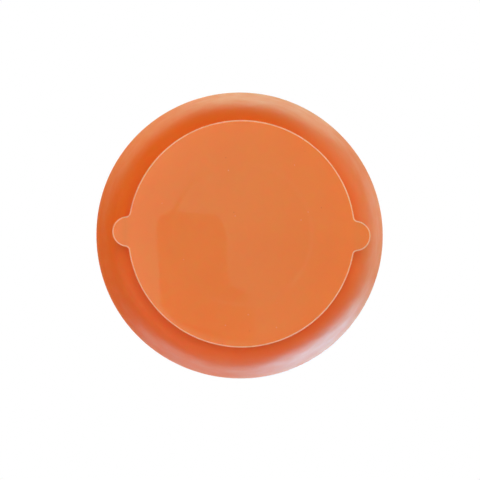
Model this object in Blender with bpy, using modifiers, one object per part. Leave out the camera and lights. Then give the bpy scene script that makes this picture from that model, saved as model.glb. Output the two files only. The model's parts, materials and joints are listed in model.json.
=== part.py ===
"""A child's silicone suction bowl: a bowl on a short neck over a flat suction disc with two release tabs.

Units are metres and +Z is up. The bowl stands upright on its disc, the origin is the middle of the disc's
flat underside, and the two tabs lie along X.
"""

import math

import bmesh
import bpy

# Driving dimensions
RIM_RADIUS = 0.0625  # outermost point of the lip
HEIGHT = 0.0525  # disc's underside to the top of the lip
LIP_HALF_WIDTH = 0.0019  # the lip's top is half an ellipse of this half width ...
LIP_DOME = 0.0023  # ... and this height
SIDE_TOP_RADIUS = 0.0599  # the side ends here, and the lip starts to turn out
SIDE_TOP_HEIGHT = 0.0415
FLARE_START = (0.0009, 0.0029)  # slope of the lip's underside where it leaves the side: out, up
FLARE_END = (0.0003, 0.0012)  # and where it meets the lip's round top
FLOOR = 0.0035  # thickness of the bowl's floor
FLOOR_RADIUS = 0.0370  # flat middle of the bowl's underside
INNER_FLOOR_RADIUS = 0.0355  # flat middle of the bowl's floor
BOWL_BASE = 0.0058  # height of the bowl's underside above the table
CORNER_REACH = 0.0173  # how gently the floor turns up into the side
OUTER_LEAN = (0.0044, 0.0200)  # slope of the side's outer face where it ends: out, up
INNER_LEAN = (0.0056, 0.0258)  # slope of its inner face where it meets the lip
DISC_RADIUS = 0.04666
SHEET_THICKNESS = 0.0014  # disc and tabs, at the edge
DISC_THICKNESS = 0.0020  # disc, where the neck stands on it
NECK_RADIUS = 0.0290
NECK_WAIST = 0.0276
NECK_FLARE = 0.0008  # the neck is this much wider under the bowl than on the disc
TAB_RADIUS = 0.00625  # round end of a tab
TAB_CENTRE = 0.04675  # distance of that round end's centre from the axis
TAB_FILLET = 0.0016  # inside corner between disc and tab
HINGE_X = 0.04775  # line across which a tab bends
GAP = 0.0003  # clearance between neighbouring pieces

ROOT_OVERLAP = 0.005  # how far a tab's root is sunk into the disc
TURN_STEPS = 72
ORANGE = (0.72, 0.17, 0.055, 1.0)
POLISHED_ORANGE = (0.75, 0.20, 0.065, 1.0)


def clear_scene():
    for obj in list(bpy.data.objects):
        bpy.data.objects.remove(obj, do_unlink=True)


def new_collection(name):
    made = bpy.data.collections.new(name)
    bpy.context.scene.collection.children.link(made)
    return made


def silicone(name, colour, roughness):
    """A Principled material for a silicone surface."""
    material = bpy.data.materials.new(name)
    material.use_nodes = True
    shader = material.node_tree.nodes["Principled BSDF"]
    shader.inputs["Base Color"].default_value = colour
    shader.inputs["Roughness"].default_value = roughness
    shader.inputs["Metallic"].default_value = 0.0
    material.diffuse_color = colour
    return material


def arc(centre, radius, first_deg, last_deg, steps):
    """Points of a circular arc from one angle to the other, both ends included."""
    points = []
    for i in range(steps + 1):
        angle = math.radians(first_deg + (last_deg - first_deg) * i / steps)
        points.append((centre[0] + radius * math.cos(angle), centre[1] + radius * math.sin(angle)))
    return points


def bezier(start, start_handle, end_handle, end, steps):
    """Points of a cubic Bezier curve, both ends included."""
    points = []
    for i in range(steps + 1):
        t = i / steps
        weights = ((1 - t) ** 3, 3 * t * (1 - t) ** 2, 3 * t * t * (1 - t), t**3)
        corners = (start, start_handle, end_handle, end)
        points.append(tuple(sum(w * c[k] for w, c in zip(weights, corners)) for k in (0, 1)))
    return points


def turned(name, profile, material, collection):
    """A solid of revolution round Z. The profile runs from the axis, up and over, down its outer side, to the axis."""
    mesh = bpy.data.meshes.new(name)
    edges = [(i, i + 1) for i in range(len(profile) - 1)]
    mesh.from_pydata([(r, 0.0, z) for r, z in profile], edges, [])
    obj = bpy.data.objects.new(name, mesh)
    collection.objects.link(obj)
    obj.data.materials.append(material)
    screw = obj.modifiers.new("Turn", "SCREW")
    screw.axis = "Z"
    screw.steps = TURN_STEPS
    screw.render_steps = TURN_STEPS
    screw.use_merge_vertices = True
    screw.merge_threshold = 0.00001
    screw.use_smooth_shade = True
    return obj


def plate_mesh(name, outline, thickness):
    """A closed mesh of a flat outline, given this thickness up from Z = 0."""
    curve = bpy.data.curves.new(name, "CURVE")
    curve.dimensions = "2D"
    curve.fill_mode = "BOTH"
    curve.extrude = thickness / 2
    spline = curve.splines.new("POLY")
    spline.points.add(len(outline) - 1)
    for point, (x, y) in zip(spline.points, outline):
        point.co = (x, y, 0.0, 1.0)
    spline.use_cyclic_u = True
    guide = bpy.data.objects.new(name, curve)
    bpy.context.scene.collection.objects.link(guide)
    bpy.context.view_layer.update()
    graph = bpy.context.evaluated_depsgraph_get()
    mesh = bpy.data.meshes.new_from_object(guide.evaluated_get(graph))
    bpy.data.objects.remove(guide)
    solid = bmesh.new()
    solid.from_mesh(mesh)
    bmesh.ops.remove_doubles(solid, verts=solid.verts, dist=0.00001)
    bmesh.ops.translate(solid, verts=solid.verts, vec=(0.0, 0.0, thickness / 2))
    bmesh.ops.recalc_face_normals(solid, faces=solid.faces)
    solid.to_mesh(mesh)
    solid.free()
    return mesh


def side_curve(base_radius, base_height, top, lean):
    """One face of the bowl's side, from the flat floor up to a point where it leans out by this much."""
    corner = (base_radius + CORNER_REACH, base_height)
    return bezier((base_radius, base_height), corner, (top[0] - lean[0], top[1] - lean[1]), top, 11)


def make_bowl_shell(material, collection):
    lip_height = HEIGHT - LIP_DOME
    lip_centre = RIM_RADIUS - LIP_HALF_WIDTH
    side_top = (SIDE_TOP_RADIUS, SIDE_TOP_HEIGHT)
    outside = side_curve(FLOOR_RADIUS, BOWL_BASE, side_top, OUTER_LEAN)
    flare_start = (side_top[0] + FLARE_START[0], side_top[1] + FLARE_START[1])
    flare_end = (RIM_RADIUS - FLARE_END[0], lip_height - FLARE_END[1])
    flare = bezier(side_top, flare_start, flare_end, (RIM_RADIUS, lip_height), 5)
    dome = arc((0.0, 0.0), 1.0, 180, 0, 10)
    lip = [(lip_centre + x * LIP_HALF_WIDTH, lip_height + z * LIP_DOME) for x, z in dome]
    inside = side_curve(INNER_FLOOR_RADIUS, BOWL_BASE + FLOOR, lip[0], INNER_LEAN)
    outer_face = [*outside, *flare[1:-1]]
    profile = [(0.0, BOWL_BASE + FLOOR), *inside, *lip[1:], *reversed(outer_face), (0.0, BOWL_BASE)]
    return turned("bowl_shell", profile, material, collection)


def make_neck(material, collection):
    low = DISC_THICKNESS + GAP
    high = BOWL_BASE - GAP
    waist = ((NECK_WAIST, low + (high - low) * share) for share in (0.7, 0.3))
    side = bezier((NECK_RADIUS + NECK_FLARE, high), *waist, (NECK_RADIUS, low), 6)
    return turned("neck", [(0.0, high), *side, (0.0, low)], material, collection)


def fillet_angles():
    """Where the inside-corner fillet lies: its centre, and its directions to the disc's and to the tab's centre."""
    to_axis = DISC_RADIUS + TAB_FILLET
    to_tab = TAB_RADIUS + TAB_FILLET
    x = (TAB_CENTRE**2 + to_axis**2 - to_tab**2) / (2 * TAB_CENTRE)
    y = math.sqrt(to_axis**2 - x**2)
    disc_side = math.degrees(math.atan2(-y, -x)) % 360
    tab_side = math.degrees(math.atan2(-y, TAB_CENTRE - x)) % 360
    return (x, y), disc_side, tab_side


def tab_edge_at(x):
    """Angle on the tab's round end, from its centre, at which it crosses this X."""
    return math.degrees(math.acos((x - TAB_CENTRE) / TAB_RADIUS))


def root_outline():
    """The short root that a tab grows from: disc edge, fillet, and the tab's sides as far as the bending line."""
    centre, disc_side, tab_side = fillet_angles()
    fillet = arc(centre, TAB_FILLET, disc_side, tab_side, 6)
    side_end = tab_edge_at(HINGE_X - GAP / 2)
    side_start = (tab_side + 180) % 360
    side = arc((TAB_CENTRE, 0.0), TAB_RADIUS, side_start, side_end, 2)[1:]
    upper = [(fillet[0][0] - ROOT_OVERLAP, fillet[0][1]), *fillet, *side]
    lower = [(x, -y) for x, y in reversed(upper)]
    return upper + lower


def tab_outline():
    """The moving tab beyond the bending line, measured from that line."""
    half = tab_edge_at(HINGE_X + GAP / 2)
    return arc((TAB_CENTRE - HINGE_X, 0.0), TAB_RADIUS, half, -half, 20)


def make_suction_disc(material, collection, guides):
    half = SHEET_THICKNESS / 2
    edge = arc((DISC_RADIUS - half, half), half, 90, -90, 6)
    profile = [(0.0, DISC_THICKNESS), (NECK_RADIUS, DISC_THICKNESS), *edge, (0.0, 0.0)]
    disc = turned("suction_disc", profile, material, collection)
    root = plate_mesh("tab_root", root_outline(), SHEET_THICKNESS)
    root.materials.append(material)
    for side, turn in (("left", math.pi), ("right", 0.0)):
        guide = bpy.data.objects.new(f"{side}_tab_root", root)
        guide.rotation_euler = (0.0, 0.0, turn)
        guide.hide_render = True
        guide.display_type = "WIRE"
        guides.objects.link(guide)
        joined = disc.modifiers.new(f"Join {side} root", "BOOLEAN")
        joined.operation = "UNION"
        joined.object = guide
    return disc


def make_release_tabs(material, collection):
    """Two alike tabs. Each has its origin on its bending line, at the top of the sheet."""
    mesh = plate_mesh("release_tab", tab_outline(), SHEET_THICKNESS)
    for vertex in mesh.vertices:
        vertex.co.z -= SHEET_THICKNESS
    mesh.materials.append(material)
    for side, sign, turn in (("left", -1, math.pi), ("right", 1, 0.0)):
        tab = bpy.data.objects.new(f"{side}_release_tab", mesh)
        tab.location = (sign * HINGE_X, 0.0, SHEET_THICKNESS)
        tab.rotation_euler = (0.0, 0.0, turn)
        collection.objects.link(tab)


def main():
    clear_scene()
    parts = new_collection("suction_bowl")
    guides = new_collection("guides")
    satin = silicone("satin_silicone", ORANGE, 0.45)
    polished = silicone("polished_silicone", POLISHED_ORANGE, 0.18)
    make_bowl_shell(satin, parts)
    make_neck(satin, parts)
    make_suction_disc(polished, parts, guides)
    make_release_tabs(polished, parts)


main()
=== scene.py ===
"""Looks of a child's silicone suction bowl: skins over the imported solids, silicones, stage, lights, camera.

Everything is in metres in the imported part's frame: +Z up, the tabs along X, the disc's flat face at Z = 0.
"""

import json
import math

import bmesh
import bpy
from mathutils import Matrix, Vector


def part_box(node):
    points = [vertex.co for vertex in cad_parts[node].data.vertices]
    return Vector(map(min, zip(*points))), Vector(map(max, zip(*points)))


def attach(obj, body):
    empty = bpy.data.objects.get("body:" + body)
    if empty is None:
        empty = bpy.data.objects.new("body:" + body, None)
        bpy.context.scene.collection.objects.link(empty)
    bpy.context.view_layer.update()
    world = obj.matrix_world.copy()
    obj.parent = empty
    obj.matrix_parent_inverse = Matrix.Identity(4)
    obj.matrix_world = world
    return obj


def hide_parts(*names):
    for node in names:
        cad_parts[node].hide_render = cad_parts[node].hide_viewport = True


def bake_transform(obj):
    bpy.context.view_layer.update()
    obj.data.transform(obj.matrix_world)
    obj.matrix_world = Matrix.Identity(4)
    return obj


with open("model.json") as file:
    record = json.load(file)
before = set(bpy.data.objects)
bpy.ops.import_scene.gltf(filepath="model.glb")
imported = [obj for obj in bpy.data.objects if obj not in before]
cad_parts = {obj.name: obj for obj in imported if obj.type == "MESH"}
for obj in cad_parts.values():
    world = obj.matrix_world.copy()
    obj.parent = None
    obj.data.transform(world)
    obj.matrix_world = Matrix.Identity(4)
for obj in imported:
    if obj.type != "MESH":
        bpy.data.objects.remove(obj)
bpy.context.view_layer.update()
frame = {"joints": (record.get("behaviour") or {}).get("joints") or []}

# Sizes read from the frame
BOWL_LOW, BOWL_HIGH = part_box("bowl_shell")
DISC_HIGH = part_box("suction_disc")[1]
TAB_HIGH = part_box("right_release_tab")[1]
JOINTS = {joint["name"]: joint for joint in frame["joints"]}
HINGE_X = JOINTS["right_tab_lift"]["pos_m"][0]
RIM_RADIUS = BOWL_HIGH.x
HEIGHT = BOWL_HIGH.z
BOWL_BASE = BOWL_LOW.z
DISC_RADIUS = DISC_HIGH.y
DISC_THICKNESS = DISC_HIGH.z
SHEET_THICKNESS = TAB_HIGH.z  # disc and tabs, at the edge

# The design's own sizes, which no box gives
LIP_HALF_WIDTH = 0.0019  # the lip's top is half an ellipse of this half width ...
LIP_DOME = 0.0023  # ... and this height
FLOOR = 0.0035  # thickness of the bowl's floor
FLOOR_RADIUS = 0.0370  # flat middle of the bowl's underside
INNER_FLOOR_RADIUS = 0.0355  # flat middle of the bowl's floor
CORNER_REACH = 0.0173  # how gently the floor turns up into the side
INNER_LEAN = (0.0056, 0.0258)  # slope of the side's inner face where it meets the lip: out, up
NECK_RADIUS = 0.0290
NECK_WAIST = 0.0276
TAB_RADIUS = 0.00625  # round end of a tab
TAB_CENTRE = TAB_HIGH.x - TAB_RADIUS
TAB_FILLET = 0.0016  # inside corner between disc and tab

# The skin's outer side, which is straighter than the solid's and up to 0.5 mm fuller under the lip
SIDE_TOP = (0.0604, 0.0415)  # radius and height where the side ends and the lip starts to turn out
OUTER_LEAN = (0.0047, 0.0200)  # slope of the side where it ends: out, up
FLARE_START = (0.0007, 0.0029)  # slope of the lip's underside where it leaves the side: out, up
FLARE_END = (0.0002, 0.0012)  # and where it meets the lip's round top

# What only the skins have
RIM_WAVES = ((0.00010, 2, 0.6), (0.00006, 5, 2.0))  # height, waves round the rim, and phase in radians
WAVES_START = 0.02  # height from which the side waves
NECK_SUNK = 0.0003  # how far the neck goes into disc and bowl
NECK_FOOT = (0.0020, 0.0016, 0.0001)  # its flare on the disc: reach, radius, widening of the sunk end
NECK_BROW = (0.0024, 0.0018, 0.0002)  # its flare under the bowl, the same
SINK_WIDTH = 0.0010  # half the width of the faint step round the neck's sink mark in the disc's face ...
SINK_DEPTH = 0.00006  # ... and its depth
INNER_RING = 0.004  # radius of the innermost ring in the disc's mesh
LIP_PAINTED_HIGHLIGHT_SPAN = (HEIGHT - 0.0105, HEIGHT - 0.0040)  # heights between which the lip is painted paler, a painted highlight along the rim

# Steps in the meshes, and the angle from which an edge is drawn sharp
TURN_STEPS = 240
SIDE_STEPS = 44
FLARE_STEPS = 20
LIP_STEPS = 28
FLAT_STEPS = 6
NECK_STEPS = 8
SPOKE_STEPS = 8
EDGE_STEPS = 12
PLAIN_RINGS = 5
SINK_RINGS = 8
SHARP_DEG = 40


# ---------------------------------------------------------------- outlines


def arc(centre, radius, first_deg, last_deg, steps):
    """Points of a circular arc from one angle to the other, both ends included."""
    angles = [math.radians(first_deg + (last_deg - first_deg) * i / steps) for i in range(steps + 1)]
    return [(centre[0] + radius * math.cos(a), centre[1] + radius * math.sin(a)) for a in angles]


def bezier(start, start_handle, end_handle, end, steps):
    """Points of a cubic Bezier curve, both ends included."""
    corners = (start, start_handle, end_handle, end)
    points = []
    for i in range(steps + 1):
        t = i / steps
        weights = ((1 - t) ** 3, 3 * t * (1 - t) ** 2, 3 * t * t * (1 - t), t**3)
        points.append(tuple(sum(w * c[k] for w, c in zip(weights, corners)) for k in (0, 1)))
    return points


def side_curve(base_radius, base_height, top, lean):
    """One face of the bowl's side, from the flat floor up to a point where it leans out by this much."""
    corner = (base_radius + CORNER_REACH, base_height)
    handle = (top[0] - lean[0], top[1] - lean[1])
    return bezier((base_radius, base_height), corner, handle, top, SIDE_STEPS)


def smooth(value, low, high):
    """0 below low, 1 above high, and an S-shaped rise between."""
    t = min(max((value - low) / (high - low), 0.0), 1.0)
    return t * t * (3 - 2 * t)


# ---------------------------------------------------------------- meshes


def mesh_object(name, points, faces):
    mesh = bpy.data.meshes.new(name)
    mesh.from_pydata(points, [], faces)
    mesh.validate()
    obj = bpy.data.objects.new(name, mesh)
    bpy.context.scene.collection.objects.link(obj)
    return obj


def shade(obj):
    obj.data.shade_smooth()
    obj.data.set_sharp_from_angle(angle=math.radians(SHARP_DEG))


def rings_object(name, rings, first_pole, last_pole):
    """A closed skin over rings of points of equal count, with a point at each end."""
    count = len(rings[0])
    points = [first_pole]
    for ring in rings:
        points.extend(ring)
    points.append(last_pole)
    faces = [(0, 1 + (i + 1) % count, 1 + i) for i in range(count)]
    for row in range(len(rings) - 1):
        here, there = 1 + row * count, 1 + (row + 1) * count
        for i in range(count):
            after = (i + 1) % count
            faces.append((here + i, here + after, there + after, there + i))
    last, end = 1 + (len(rings) - 1) * count, len(points) - 1
    faces += [(end, last + i, last + (i + 1) % count) for i in range(count)]
    obj = mesh_object(name, points, faces)
    solid = bmesh.new()
    solid.from_mesh(obj.data)
    bmesh.ops.recalc_face_normals(solid, faces=solid.faces)
    solid.to_mesh(obj.data)
    solid.free()
    return obj


def turned(name, profile):
    """A solid of revolution round Z from a profile of (radius, height) that starts and ends on the axis."""
    rings = []
    for radius, height in profile[1:-1]:
        turns = (2 * math.pi * i / TURN_STEPS for i in range(TURN_STEPS))
        rings.append([(radius * math.cos(a), radius * math.sin(a), height) for a in turns])
    return rings_object(name, rings, (0, 0, profile[0][1]), (0, 0, profile[-1][1]))


# ---------------------------------------------------------------- bowl


def bowl_profile():
    """The bowl's section: from the axis along the floor and up, over the lip, and back along the outside."""
    lip_height = HEIGHT - LIP_DOME
    lip_centre = RIM_RADIUS - LIP_HALF_WIDTH
    outside = side_curve(FLOOR_RADIUS, BOWL_BASE, SIDE_TOP, OUTER_LEAN)
    flare_start = (SIDE_TOP[0] + FLARE_START[0], SIDE_TOP[1] + FLARE_START[1])
    flare_end = (RIM_RADIUS - FLARE_END[0], lip_height - FLARE_END[1])
    flare = bezier(SIDE_TOP, flare_start, flare_end, (RIM_RADIUS, lip_height), FLARE_STEPS)
    dome = arc((0.0, 0.0), 1.0, 180, 0, LIP_STEPS)
    lip = [(lip_centre + x * LIP_HALF_WIDTH, lip_height + z * LIP_DOME) for x, z in dome]
    inside = side_curve(INNER_FLOOR_RADIUS, BOWL_BASE + FLOOR, lip[0], INNER_LEAN)
    floor = [(INNER_FLOOR_RADIUS * i / FLAT_STEPS, BOWL_BASE + FLOOR) for i in range(FLAT_STEPS)]
    underside = [(FLOOR_RADIUS * i / FLAT_STEPS, BOWL_BASE) for i in range(FLAT_STEPS)]
    return [*floor, *inside, *lip[1:], *reversed(flare[1:-1]), *reversed(outside), *reversed(underside)]


def make_bowl():
    bowl = turned("bowl_skin", bowl_profile())
    for vertex in bowl.data.vertices:
        # A soft rim is never quite round: the side waves by about a tenth of a millimetre towards the top.
        turn = math.atan2(vertex.co.y, vertex.co.x)
        wave = sum(size * math.sin(count * turn + phase) for size, count, phase in RIM_WAVES)
        share = 1 + wave * smooth(vertex.co.z, WAVES_START, HEIGHT) / RIM_RADIUS
        vertex.co.x *= share
        vertex.co.y *= share
    shade(bowl)
    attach(bowl, "bowl")
    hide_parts("bowl_shell")
    return bowl


# ---------------------------------------------------------------- neck


def make_neck():
    """The boss between disc and bowl, flared and sunk a little into both."""
    low, high = DISC_THICKNESS, BOWL_BASE
    reach, radius, widening = NECK_FOOT
    foot = [(0, low - NECK_SUNK), (NECK_WAIST + reach + widening, low - NECK_SUNK)]
    foot += arc((NECK_WAIST + reach, low + radius), radius, 270, 190, NECK_STEPS)
    reach, radius, widening = NECK_BROW
    brow = arc((NECK_WAIST + reach, high - radius), radius, 170, 90, NECK_STEPS)
    brow += [(NECK_WAIST + reach + widening, high + NECK_SUNK), (0, high + NECK_SUNK)]
    neck = turned("neck_skin", foot + brow)
    shade(neck)
    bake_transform(neck)
    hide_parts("neck")
    return neck


# ---------------------------------------------------------------- disc and tabs


def sheet_outline():
    """Disc and tabs from above, anticlockwise from the right tab's tip: x, y and the direction inwards."""
    to_axis, to_tab = DISC_RADIUS + TAB_FILLET, TAB_RADIUS + TAB_FILLET
    x = (TAB_CENTRE**2 + to_axis**2 - to_tab**2) / (2 * TAB_CENTRE)
    y = math.sqrt(to_axis**2 - x**2)
    tab_end = math.degrees(math.atan2(y, x - TAB_CENTRE))
    disc_start = math.degrees(math.atan2(y, x))
    # Each arc's centre, radius, angles and steps, and 1 where its centre lies outside the sheet, or -1
    stretches = (
        ((TAB_CENTRE, 0.0), TAB_RADIUS, 0, tab_end, 26, -1),
        ((x, y), TAB_FILLET, tab_end + 180, disc_start + 180, 9, 1),
        ((0.0, 0.0), DISC_RADIUS, disc_start, 90, 48, -1),
    )
    # Each arc starts where the one before it ended, so only the first one keeps its first point
    quarter = []
    for centre, radius, first, last, steps, inward in stretches:
        for px, py in arc(centre, radius, first, last, steps)[bool(quarter) :]:
            quarter.append((px, py, inward * (px - centre[0]) / radius, inward * (py - centre[1]) / radius))
    half = quarter + [(-px, py, -nx, ny) for px, py, nx, ny in reversed(quarter[:-1])]
    return half + [(px, -py, nx, -ny) for px, py, nx, ny in reversed(half[1:-1])]


def disc_top(radius):
    """Height of the disc's upper face, which thins from the neck towards the edge."""
    outer = DISC_RADIUS - SHEET_THICKNESS / 2
    share = min(max((outer - radius) / (outer - NECK_RADIUS), 0.0), 1.0)
    return SHEET_THICKNESS + (DISC_THICKNESS - SHEET_THICKNESS) * share


def sink(radius):
    """Height of the disc's face, which has a faint round sink mark under the neck."""
    return SINK_DEPTH * (1 - smooth(radius, NECK_RADIUS - SINK_WIDTH, NECK_RADIUS + SINK_WIDTH))


def make_sheet():
    """Disc and both tabs as one closed skin with a half-round edge."""
    outline = sheet_outline()
    edge_radius = SHEET_THICKNESS / 2

    def circle(radius, height):
        turns = (math.atan2(py, px) for px, py, _, _ in outline)
        return [(radius * math.cos(a), radius * math.sin(a), height) for a in turns]

    def inset(distance, height):
        return [(px + nx * distance, py + ny * distance, height) for px, py, nx, ny in outline]

    def between(ring, edge, share, height_at):
        made = []
        for a, b in zip(ring, edge):
            px, py = a[0] + (b[0] - a[0]) * share, a[1] + (b[1] - a[1]) * share
            made.append((px, py, height_at(math.hypot(px, py))))
        return made

    plain = NECK_RADIUS - 2 * SINK_WIDTH
    radii = [INNER_RING + (plain - INNER_RING) * i / PLAIN_RINGS for i in range(PLAIN_RINGS + 1)]
    radii += [NECK_RADIUS + SINK_WIDTH * (2 * i / SINK_RINGS - 1) for i in range(SINK_RINGS + 1)]
    under = [circle(radius, sink(radius)) for radius in radii]
    flat_edge = inset(edge_radius, 0.0)
    under += [between(under[-1], flat_edge, i / SPOKE_STEPS, sink) for i in range(1, SPOKE_STEPS)]
    round_edge = arc((0.0, 0.0), 1.0, -90, 90, EDGE_STEPS)
    side = [inset(edge_radius * (1 - x), edge_radius * (1 + z)) for x, z in round_edge]
    neck_ring = circle(plain, DISC_THICKNESS)
    over = [between(side[-1], neck_ring, i / SPOKE_STEPS, disc_top) for i in range(1, SPOKE_STEPS + 1)]
    return rings_object("sheet", [*under, *side, *over], (0, 0, SINK_DEPTH), (0, 0, DISC_THICKNESS))


def cut_sheet(sheet, name, low_x, high_x):
    """The stretch of the sheet between two X planes, closed where it is cut. None leaves that end whole."""
    solid = bmesh.new()
    solid.from_mesh(sheet.data)
    for plane_x, outwards in ((low_x, -1), (high_x, 1)):
        if plane_x is None:
            continue
        everything = [*solid.verts, *solid.edges, *solid.faces]
        cut = bmesh.ops.bisect_plane(
            solid, geom=everything, plane_co=(plane_x, 0, 0), plane_no=(outwards, 0, 0), clear_outer=True
        )
        rim = [e for e in cut["geom_cut"] if isinstance(e, bmesh.types.BMEdge)]
        bmesh.ops.edgeloop_fill(solid, edges=rim)
    bmesh.ops.recalc_face_normals(solid, faces=solid.faces)
    mesh = bpy.data.meshes.new(name)
    solid.to_mesh(mesh)
    solid.free()
    obj = bpy.data.objects.new(name, mesh)
    bpy.context.scene.collection.objects.link(obj)
    shade(obj)
    return obj


def make_disc_and_tabs():
    """The sheet cut at the two bending lines into the disc and the two tabs."""
    sheet = make_sheet()
    disc = cut_sheet(sheet, "suction_disc_skin", -HINGE_X, HINGE_X)
    left = cut_sheet(sheet, "left_tab_skin", None, -HINGE_X)
    right = cut_sheet(sheet, "right_tab_skin", HINGE_X, None)
    bpy.data.objects.remove(sheet)
    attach(disc, "suction_base")
    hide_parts("suction_disc")
    for tab, side, sign in ((left, "left", -1), (right, "right", 1)):
        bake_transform(tab)
        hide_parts(f"{side}_release_tab")
    return disc, left, right


# ---------------------------------------------------------------- nodes


class Nodes:
    """A node tree, built a node at a time."""

    def __init__(self, tree):
        self.tree = tree

    def add(self, kind, **settings):
        node = self.tree.nodes.new("ShaderNode" + kind)
        for key, value in settings.items():
            setattr(node, key, value)
        return node

    def feed(self, socket, value):
        if isinstance(value, bpy.types.NodeSocket):
            self.tree.links.new(value, socket)
        else:
            socket.default_value = value

    def axis(self, vector, letter):
        parts = self.add("SeparateXYZ")
        self.feed(parts.inputs[0], vector)
        return parts.outputs[letter]

    def ramp(self, value, span, to=(0.0, 1.0), **settings):
        """Carries the values of the first span over to the second, and holds them at its ends."""
        node = self.add("MapRange", clamp=True, **settings)
        for key, number in zip(("From Min", "From Max", "To Min", "To Max"), (*span, *to)):
            node.inputs[key].default_value = number
        self.feed(node.inputs["Value"], value)
        return node.outputs["Result"]

    def maths(self, operation, first, second):
        node = self.add("Math", operation=operation)
        self.feed(node.inputs[0], first)
        self.feed(node.inputs[1], second)
        return node.outputs[0]

    def mix_shaders(self, factor, first, second):
        node = self.add("MixShader")
        for socket, value in zip(node.inputs, (factor, first, second)):
            self.feed(socket, value)
        return node.outputs[0]


class Material(Nodes):
    """A material's node tree. Its textures lie in the object's own space."""

    def __init__(self, name):
        self.material = bpy.data.materials.new(name)
        self.material.use_nodes = True
        super().__init__(self.material.node_tree)
        self.principled = self.tree.nodes["Principled BSDF"]
        self.output = self.tree.nodes["Material Output"]
        self.position = self.add("TexCoord").outputs["Object"]

    def set(self, key, value):
        self.feed(self.principled.inputs[key], value)

    def noise(self, scale, detail, roughness=0.5, stretch=(1, 1, 1)):
        place = self.add("Mapping")
        self.feed(place.inputs["Vector"], self.position)
        place.inputs["Scale"].default_value = stretch
        noise = self.add("TexNoise")
        self.feed(noise.inputs["Vector"], place.outputs["Vector"])
        noise.inputs["Scale"].default_value = scale
        noise.inputs["Detail"].default_value = detail
        noise.inputs["Roughness"].default_value = roughness
        return noise.outputs["Fac"]

    def mix(self, factor, first, second):
        node = self.add("Mix", data_type="RGBA")
        self.feed(node.inputs["Factor"], factor)
        self.feed(node.inputs["A"], first)
        self.feed(node.inputs["B"], second)
        return node.outputs["Result"]

    def bump(self, height, distance, strength, under=None):
        node = self.add("Bump")
        node.inputs["Strength"].default_value = strength
        node.inputs["Distance"].default_value = distance
        self.feed(node.inputs["Height"], height)
        if under is not None:
            self.feed(node.inputs["Normal"], under)
        return node.outputs["Normal"]

    def specks(self, cell, share, radius):
        """Small round dots, one in this share of the cells of this size: 1 inside a dot."""
        cells = self.add("TexVoronoi", feature="F1")
        self.feed(cells.inputs["Vector"], self.position)
        cells.inputs["Scale"].default_value = 1 / cell
        cells.inputs["Randomness"].default_value = 1.0
        parts = self.add("SeparateColor")
        self.feed(parts.inputs["Color"], cells.outputs["Color"])
        chosen = self.maths("LESS_THAN", parts.outputs["Red"], share)
        near = self.ramp(cells.outputs["Distance"], (radius / cell * 0.5, radius / cell), to=(1.0, 0.0))
        return self.maths("MULTIPLY", chosen, near)


# ---------------------------------------------------------------- materials

SATIN_DEEP = (0.89, 0.141, 0.006, 1.0)
SATIN_BRIGHT = (0.91, 0.159, 0.009, 1.0)
# The lip's paler colour is a painted highlight along the rim.
LIP_PAINTED_HIGHLIGHT = (0.91, 0.195, 0.034, 1.0)
POLISHED_DEEP = (0.90, 0.215, 0.027, 1.0)
POLISHED_BRIGHT = (0.91, 0.235, 0.033, 1.0)
# The edge's two colours are a painted highlight: the rounded edge is coloured paler than the disc so that it
# looks lit.
EDGE_PAINTED_HIGHLIGHT_DEEP = (0.86, 0.40, 0.21, 1.0)
EDGE_PAINTED_HIGHLIGHT_PALE = (0.89, 0.48, 0.28, 1.0)
# The edge's emission colour is a painted glow: the edge gives off light though it is no lamp.
EDGE_PAINTED_GLOW = (0.7, 0.50, 0.42, 1.0)
EDGE_SHEEN = (1.0, 0.80, 0.70, 1.0)
DUST_LIGHT = (0.95, 0.55, 0.36, 1.0)
DUST_DARK = (0.45, 0.07, 0.012, 1.0)

NOISE_SPAN = (0.3, 0.7)  # most of a noise texture's values lie in it
PAINTED_HIGHLIGHT_FACING = (-0.98, -0.35)  # the edge is painted paler, a painted highlight, where the Z of its outward direction lies in this span


def set_silicone(look, glow_depth):
    """What all the silicones share: the rubber's index, and red light carried about this far through it."""
    look.set("IOR", 1.42)
    look.set("Subsurface Weight", 0.75)
    look.set("Subsurface Radius", (1.0, 0.22, 0.07))
    look.set("Subsurface Scale", glow_depth)


def satin_silicone():
    """Moulded matt silicone: faint flow clouds, a fine mould texture, a lip painted paler as a painted
    highlight, and a little dust.
    """
    look = Material("satin_silicone_look")
    set_silicone(look, glow_depth=0.0030)
    clouds = look.ramp(look.noise(38, detail=4.0, roughness=0.55, stretch=(1, 1, 0.6)), NOISE_SPAN)
    colour = look.mix(clouds, SATIN_DEEP, SATIN_BRIGHT)
    # Painted highlight: the lip is painted paler towards its top.
    lip = look.ramp(look.axis(look.position, "Z"), LIP_PAINTED_HIGHLIGHT_SPAN)
    colour = look.mix(lip, colour, LIP_PAINTED_HIGHLIGHT)
    lint = look.specks(cell=0.0042, share=0.10, radius=0.00022)
    look.set("Base Color", look.mix(lint, colour, DUST_LIGHT))
    look.set("Roughness", look.ramp(look.noise(150, detail=3.0), NOISE_SPAN, to=(0.40, 0.50)))
    grain = look.bump(look.noise(2600, detail=2.0, roughness=0.6), distance=0.00002, strength=0.5)
    swell = look.noise(120, detail=2.0)
    look.set("Normal", look.bump(swell, distance=0.00012, strength=0.5, under=grain))
    return look.material


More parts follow.
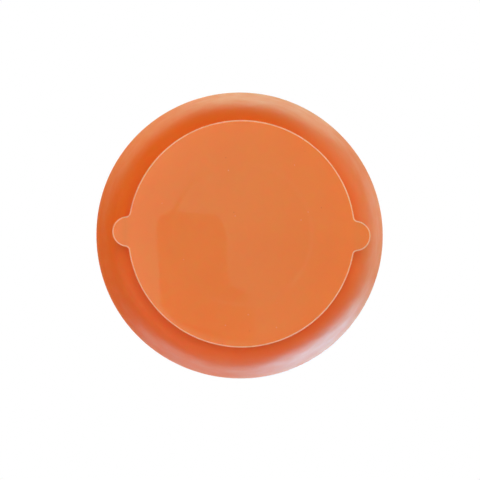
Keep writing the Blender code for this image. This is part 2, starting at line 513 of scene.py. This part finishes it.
def polished_silicone():
    """The disc's mirror-moulded face: glossy, faintly smeared, with the dust that such rubber picks up."""
    look = Material("polished_silicone_look")
    set_silicone(look, glow_depth=0.0018)
    clouds = look.ramp(look.noise(22, detail=3.0), NOISE_SPAN)
    colour = look.mix(clouds, POLISHED_DEEP, POLISHED_BRIGHT)
    light_dust = look.specks(cell=0.0030, share=0.15, radius=0.00020)
    dark_dust = look.specks(cell=0.0036, share=0.12, radius=0.00021)
    colour = look.mix(light_dust, colour, DUST_LIGHT)
    look.set("Base Color", look.mix(look.maths("MULTIPLY", dark_dust, 0.7), colour, DUST_DARK))
    streaks = look.noise(55, detail=4.0, roughness=0.6, stretch=(1, 2.2, 1))
    smears = look.ramp(streaks, (0.35, 0.75), to=(0.015, 0.035))
    look.set("Roughness", look.maths("ADD", smears, look.maths("MULTIPLY", light_dust, 0.5)))
    ripple = look.noise(70, detail=2.0, roughness=0.4)
    look.set("Normal", look.bump(ripple, distance=0.00002, strength=0.4))
    return look.material


def edge_painted_highlight_silicone():
    """The sheet's thin rounded edge, painted paler as a painted highlight, with a faint painted glow for
    light let through it.
    """
    look = Material("edge_painted_highlight_look")
    set_silicone(look, glow_depth=0.0030)
    uneven = look.ramp(look.noise(90, detail=2.0), NOISE_SPAN)
    look.set("Base Color", look.mix(uneven, EDGE_PAINTED_HIGHLIGHT_DEEP, EDGE_PAINTED_HIGHLIGHT_PALE))
    look.set("Roughness", look.ramp(look.noise(200, detail=2.0), NOISE_SPAN, to=(0.22, 0.32)))
    # Painted glow: the edge emits a little light of its own.
    look.set("Emission Color", EDGE_PAINTED_GLOW)
    look.set("Emission Strength", 0.12)
    look.set("Sheen Weight", 0.5)
    look.set("Sheen Roughness", 0.35)
    look.set("Sheen Tint", EDGE_SHEEN)
    return look.material


def is_cut(face):
    """Whether a face of the sheet closes it at a bending line."""
    return abs(face.normal.x) > 0.999 and abs(abs(face.center.x) - HINGE_X) < 0.00001


def paint(disc, tabs, bowl, neck):
    """Satin on bowl, neck and the sheet's top, polish on its face, and a painted highlight and painted glow
    on its lower round edge and cuts.
    """
    satin, polished, edge = satin_silicone(), polished_silicone(), edge_painted_highlight_silicone()
    for piece in (bowl, neck):
        piece.data.materials.append(satin)
    for piece in (disc, *tabs):
        for material in (polished, satin, edge):
            piece.data.materials.append(material)
        for face in piece.data.polygons:
            # Faces turned this way, and the cut faces, get the edge's painted highlight and painted glow.
            if is_cut(face) or PAINTED_HIGHLIGHT_FACING[0] < face.normal.z < PAINTED_HIGHLIGHT_FACING[1]:
                face.material_index = 2
            else:
                face.material_index = 0 if face.normal.z < 0 else 1


# ---------------------------------------------------------------- camera

CAMERA_DISTANCE = 0.7963
CAMERA_LEFT_DEG, CAMERA_NEAR_DEG = 0.934, 0.661  # how far it stands off the bowl's axis, to -X and to +Y
CAMERA_AIM = Vector((-0.0002, 0.0023, 0.0250))
CAMERA_ROLL_DEG = 1.115
CAMERA_LENS, CAMERA_SENSOR = 141.12, 36.0  # mm


def camera_away():
    """Unit direction from the point aimed at to the camera."""
    x, y = -math.sin(math.radians(CAMERA_LEFT_DEG)), math.sin(math.radians(CAMERA_NEAR_DEG))
    return Vector((x, y, -math.sqrt(1 - x * x - y * y)))


def make_camera():
    """Under the bowl, looking up at the disc, with -Y up in the picture and +X to the right."""
    data = bpy.data.cameras.new("camera")
    data.lens = CAMERA_LENS
    data.sensor_width = CAMERA_SENSOR
    data.clip_start = 0.01
    camera = bpy.data.objects.new("camera", data)
    bpy.context.scene.collection.objects.link(camera)
    away = camera_away()
    right = (-away).cross(Vector((0, -1, 0))).normalized()
    up = right.cross(-away)
    turn = Matrix((right, up, away)).transposed() @ Matrix.Rotation(math.radians(CAMERA_ROLL_DEG), 3, "Z")
    camera.matrix_world = Matrix.Translation(CAMERA_AIM + away * CAMERA_DISTANCE) @ turn.to_4x4()
    bpy.context.scene.camera = camera


# ---------------------------------------------------------------- stage

STAGE_HALF = 9
STAGE_DEPTH = -0.0002
STAGE_COLOURS = ((0.90, 0.89, 0.94, 1), (0.92, 0.91, 0.96, 1))
STAGE_FADE = (0.05, 0.80)  # distances from the axis between which the floor turns from lit to glowing white
WALL_HALF = 1
WALL_DEPTH = -1.30
WALL_FADE = (-0.13, 0.13)  # span in X over which the wall dims
STAND_DEPTH = -0.30


def only_for(obj, camera=False, glossy=False):
    """Hides a stage piece from every ray but these."""
    obj.visible_camera = camera
    obj.visible_glossy = glossy
    obj.visible_diffuse = False
    obj.visible_transmission = False
    obj.visible_volume_scatter = False
    obj.visible_shadow = False


def square(half, height):
    return [(-half, -half, height), (half, -half, height), (half, half, height), (-half, half, height)]


def make_floor():
    """A pale floor under the bowl, lit round it and glowing white far off.

    It is seen only from above, so that a camera under it sees the disc's face.
    """
    floor = mesh_object("stage_floor", square(STAGE_HALF, STAGE_DEPTH), [(0, 1, 2, 3)])
    look = Material("stage_floor_look")
    grain = look.ramp(look.noise(6, detail=2.0), NOISE_SPAN)
    look.set("Base Color", look.mix(grain, *STAGE_COLOURS))
    look.set("Roughness", 0.85)
    look.set("Specular IOR Level", 0.2)
    distance = look.add("VectorMath", operation="LENGTH")
    look.feed(distance.inputs[0], look.position)
    far = look.ramp(distance.outputs["Value"], STAGE_FADE, to=(0.12, 1.0))
    glow = look.add("Emission").outputs[0]
    from_above = look.mix_shaders(far, look.principled.outputs[0], glow)
    underside = look.add("NewGeometry").outputs["Backfacing"]
    clear = look.add("BsdfTransparent").outputs[0]
    look.feed(look.output.inputs["Surface"], look.mix_shaders(underside, from_above, clear))
    floor.data.materials.append(look.material)
    only_for(floor, camera=True)


def glowing_card(name, corners, colour, strength):
    """A flat card that only reflections see. Its strength is a number, or two, for the wall's two sides."""
    card = mesh_object(name, corners, [tuple(range(len(corners)))])
    look = Material(name + "_look")
    glow = look.add("Emission")
    if isinstance(strength, tuple):
        strength = look.ramp(look.axis(look.position, "X"), WALL_FADE, to=strength)
    glow.inputs["Color"].default_value = (*colour, 1.0)
    look.feed(glow.inputs["Strength"], strength)
    look.feed(look.output.inputs["Surface"], glow.outputs[0])
    card.data.materials.append(look.material)
    only_for(card, glossy=True)


def mirrored(x, y):
    """The place on the stand's plane that the camera sees mirrored at this point of the disc's face."""
    eye = CAMERA_AIM + camera_away() * CAMERA_DISTANCE
    reach = STAND_DEPTH / eye.z
    return (x + (x - eye.x) * reach, y + (y - eye.y) * reach, STAND_DEPTH)


def make_reflection_cards():
    """What the polished face mirrors: a bright wall that dims to the right, and a stand's dark shape."""
    glowing_card("stage_wall", square(WALL_HALF, WALL_DEPTH), (0.62, 1.0, 0.90), (2.0, 1.15))
    # The stand's outline as it shows on the disc's face
    stand = [(-0.0350, -0.0020), (-0.0335, -0.0070), (-0.0290, -0.0085), (-0.0110, -0.0075)]
    stand += [(-0.0065, -0.0020), (-0.0050, 0.0210), (0.0025, 0.0245)]
    stand += [(0.0060, 0.0330), (0.0060, 0.0460), (-0.0310, 0.0460)]
    glowing_card("stage_stand", [mirrored(x, y) for x, y in stand], (1.0, 0.95, 0.95), 1.0)


# ---------------------------------------------------------------- lights

# Name, watts, size, azimuth and elevation in degrees, distance, colour
FILLS = (
    ("under_key", 6.9, (0.7, 0.7), -75, -75, 1.2, (0.94, 1.0, 1.0)),
    ("under_fill", 3.9, (1.4, 1.4), 0, -88, 1.5, (0.94, 1.0, 1.0)),
    ("right_fill", 6.6, (0.6, 0.6), -15, 36, 1.2, (0.76, 1.0, 0.75)),
    ("right_low_fill", 1.1, (0.6, 0.6), -5, -5, 1.2, (0.25, 1.0, 0.60)),
    ("upper_left_fill", 9.2, (1.0, 1.0), -140, 40, 1.2, (1.0, 1.0, 1.0)),
    ("left_fill", 2.0, (0.8, 0.8), -172, 25, 1.2, (0.90, 0.52, 0.24)),
    ("lower_fill", 4.2, (0.8, 0.8), 114, 30, 1.2, (0.93, 0.82, 0.70)),
    ("lower_left_fill", 0.9, (0.6, 0.6), 150, -45, 1.2, (0.30, 1.0, 0.55)),
    ("red_glow", 1.9, (0.6, 0.6), 105, -30, 1.2, (1.0, 0.06, 0.10)),
    ("inside_fill", 0.4, (0.6, 0.6), 0, 88, 1.2, (0.75, 1.0, 1.0)),
)
WINDOWS = (
    ("lower_right_window", 3.75, (0.46, 0.96), 54, 61, 1.1, (0.28, 0.77, 1.0)),
    ("back_window", 1.4, (0.55, 0.7), -75, 56, 1.1, (0.60, 1.0, 0.75)),
    ("warm_window", 0.78, (0.7, 0.6), -121, 60, 1.1, (0.85, 1.0, 0.53)),
    ("right_window", 1.2, (1.2, 0.5), -35, 12, 1.1, (0.60, 1.0, 0.95)),
    ("right_rim_window", 0.25, (0.5, 0.5), 8, 62, 1.1, (0.40, 0.85, 1.0)),
    ("left_window", 0.05, (1.3, 0.5), 155, 32, 1.1, (0.85, 1.0, 0.50)),
    ("lower_rim_window", 1.0, (0.9, 0.3), 86, 67, 1.1, (0.25, 0.80, 1.0)),
    ("top_window", 1.7, (0.6, 0.6), 20, 85, 1.1, (0.70, 1.0, 0.95)),
)


def area_light(name, watts, size, azimuth, elevation, distance, colour):
    """A soft light on a sphere round the bowl, turned to it. Azimuth is from +X towards +Y, in degrees."""
    data = bpy.data.lights.new(name, "AREA")
    data.shape = "RECTANGLE"
    data.size, data.size_y = size
    data.energy = watts
    data.color = colour
    light = bpy.data.objects.new(name, data)
    bpy.context.scene.collection.objects.link(light)
    a, e = math.radians(azimuth), math.radians(elevation)
    away = Vector((math.cos(a) * math.cos(e), math.sin(a) * math.cos(e), math.sin(e)))
    light.location = Vector((0, 0, HEIGHT / 2)) + away * distance
    light.rotation_mode = "QUATERNION"
    light.rotation_quaternion = away.to_track_quat("Z", "Y")
    light.visible_camera = False
    return light


def make_lights():
    """The fills light matt surfaces and don't show as gloss. The windows show only as gloss."""
    for row in FILLS:
        light = area_light(*row)
        light.visible_glossy = False
    for row in WINDOWS:
        light = area_light(*row)
        light.visible_diffuse = False


def make_world():
    """White to the camera, and two skies for the bowl.

    Matt surfaces see a grey one, brightest a little above the horizon. Gloss sees a warm one that is dark
    towards -X with -Y and, overhead, towards -X.
    """
    world = bpy.data.worlds.new("studio")
    bpy.context.scene.world = world
    world.use_nodes = True
    nodes = Nodes(world.node_tree)
    nodes.tree.nodes.clear()
    direction = nodes.add("TexCoord").outputs["Generated"]
    across, height = nodes.axis(direction, "X"), nodes.axis(direction, "Z")

    def slope(value, span, to):
        return nodes.ramp(value, span, to=to, interpolation_type="SMOOTHSTEP")

    def sky(strength, colour=(1, 1, 1)):
        node = nodes.add("Background")
        node.inputs["Color"].default_value = (*colour, 1)
        nodes.feed(node.inputs["Strength"], strength)
        return node.outputs[0]

    beyond = slope(across, (-0.9, 0.9), to=(0.36, 0.43))
    rising = slope(height, (-0.7, 0.3), to=(0.50, 1.20))
    falling = slope(height, (0.3, 0.9), to=(1.0, 0.30))
    matt = sky(nodes.maths("MULTIPLY", nodes.maths("MULTIPLY", beyond, rising), falling))

    lower_right = nodes.add("VectorMath", operation="DOT_PRODUCT")
    lower_right.inputs[1].default_value = (0.6, 0.8, 0.0)
    nodes.feed(lower_right.inputs[0], direction)
    beside = slope(lower_right.outputs["Value"], (-0.6, -0.2), to=(0.0, 1.10))
    overhead = slope(across, (-0.5, -0.1), to=(0.0, 0.66))
    strength = nodes.add("Mix", data_type="FLOAT")
    nodes.feed(strength.inputs["Factor"], slope(height, (0.1, 0.9), to=(0.0, 1.0)))
    nodes.feed(strength.inputs["A"], beside)
    nodes.feed(strength.inputs["B"], overhead)
    gloss = sky(strength.outputs["Result"], (1.0, 0.96, 0.76))

    ray = nodes.add("LightPath").outputs
    bowl_sees = nodes.mix_shaders(ray["Is Glossy Ray"], matt, gloss)
    seen = nodes.mix_shaders(ray["Is Camera Ray"], bowl_sees, sky(1.0))
    nodes.feed(nodes.add("OutputWorld").inputs["Surface"], seen)


# ---------------------------------------------------------------- build

bowl_skin = make_bowl()
neck_skin = make_neck()
disc_skin, left_tab_skin, right_tab_skin = make_disc_and_tabs()
paint(disc_skin, (left_tab_skin, right_tab_skin), bowl_skin, neck_skin)
make_floor()
make_reflection_cards()
make_lights()
make_world()
make_camera()
bpy.context.scene.view_settings.view_transform = "Standard"
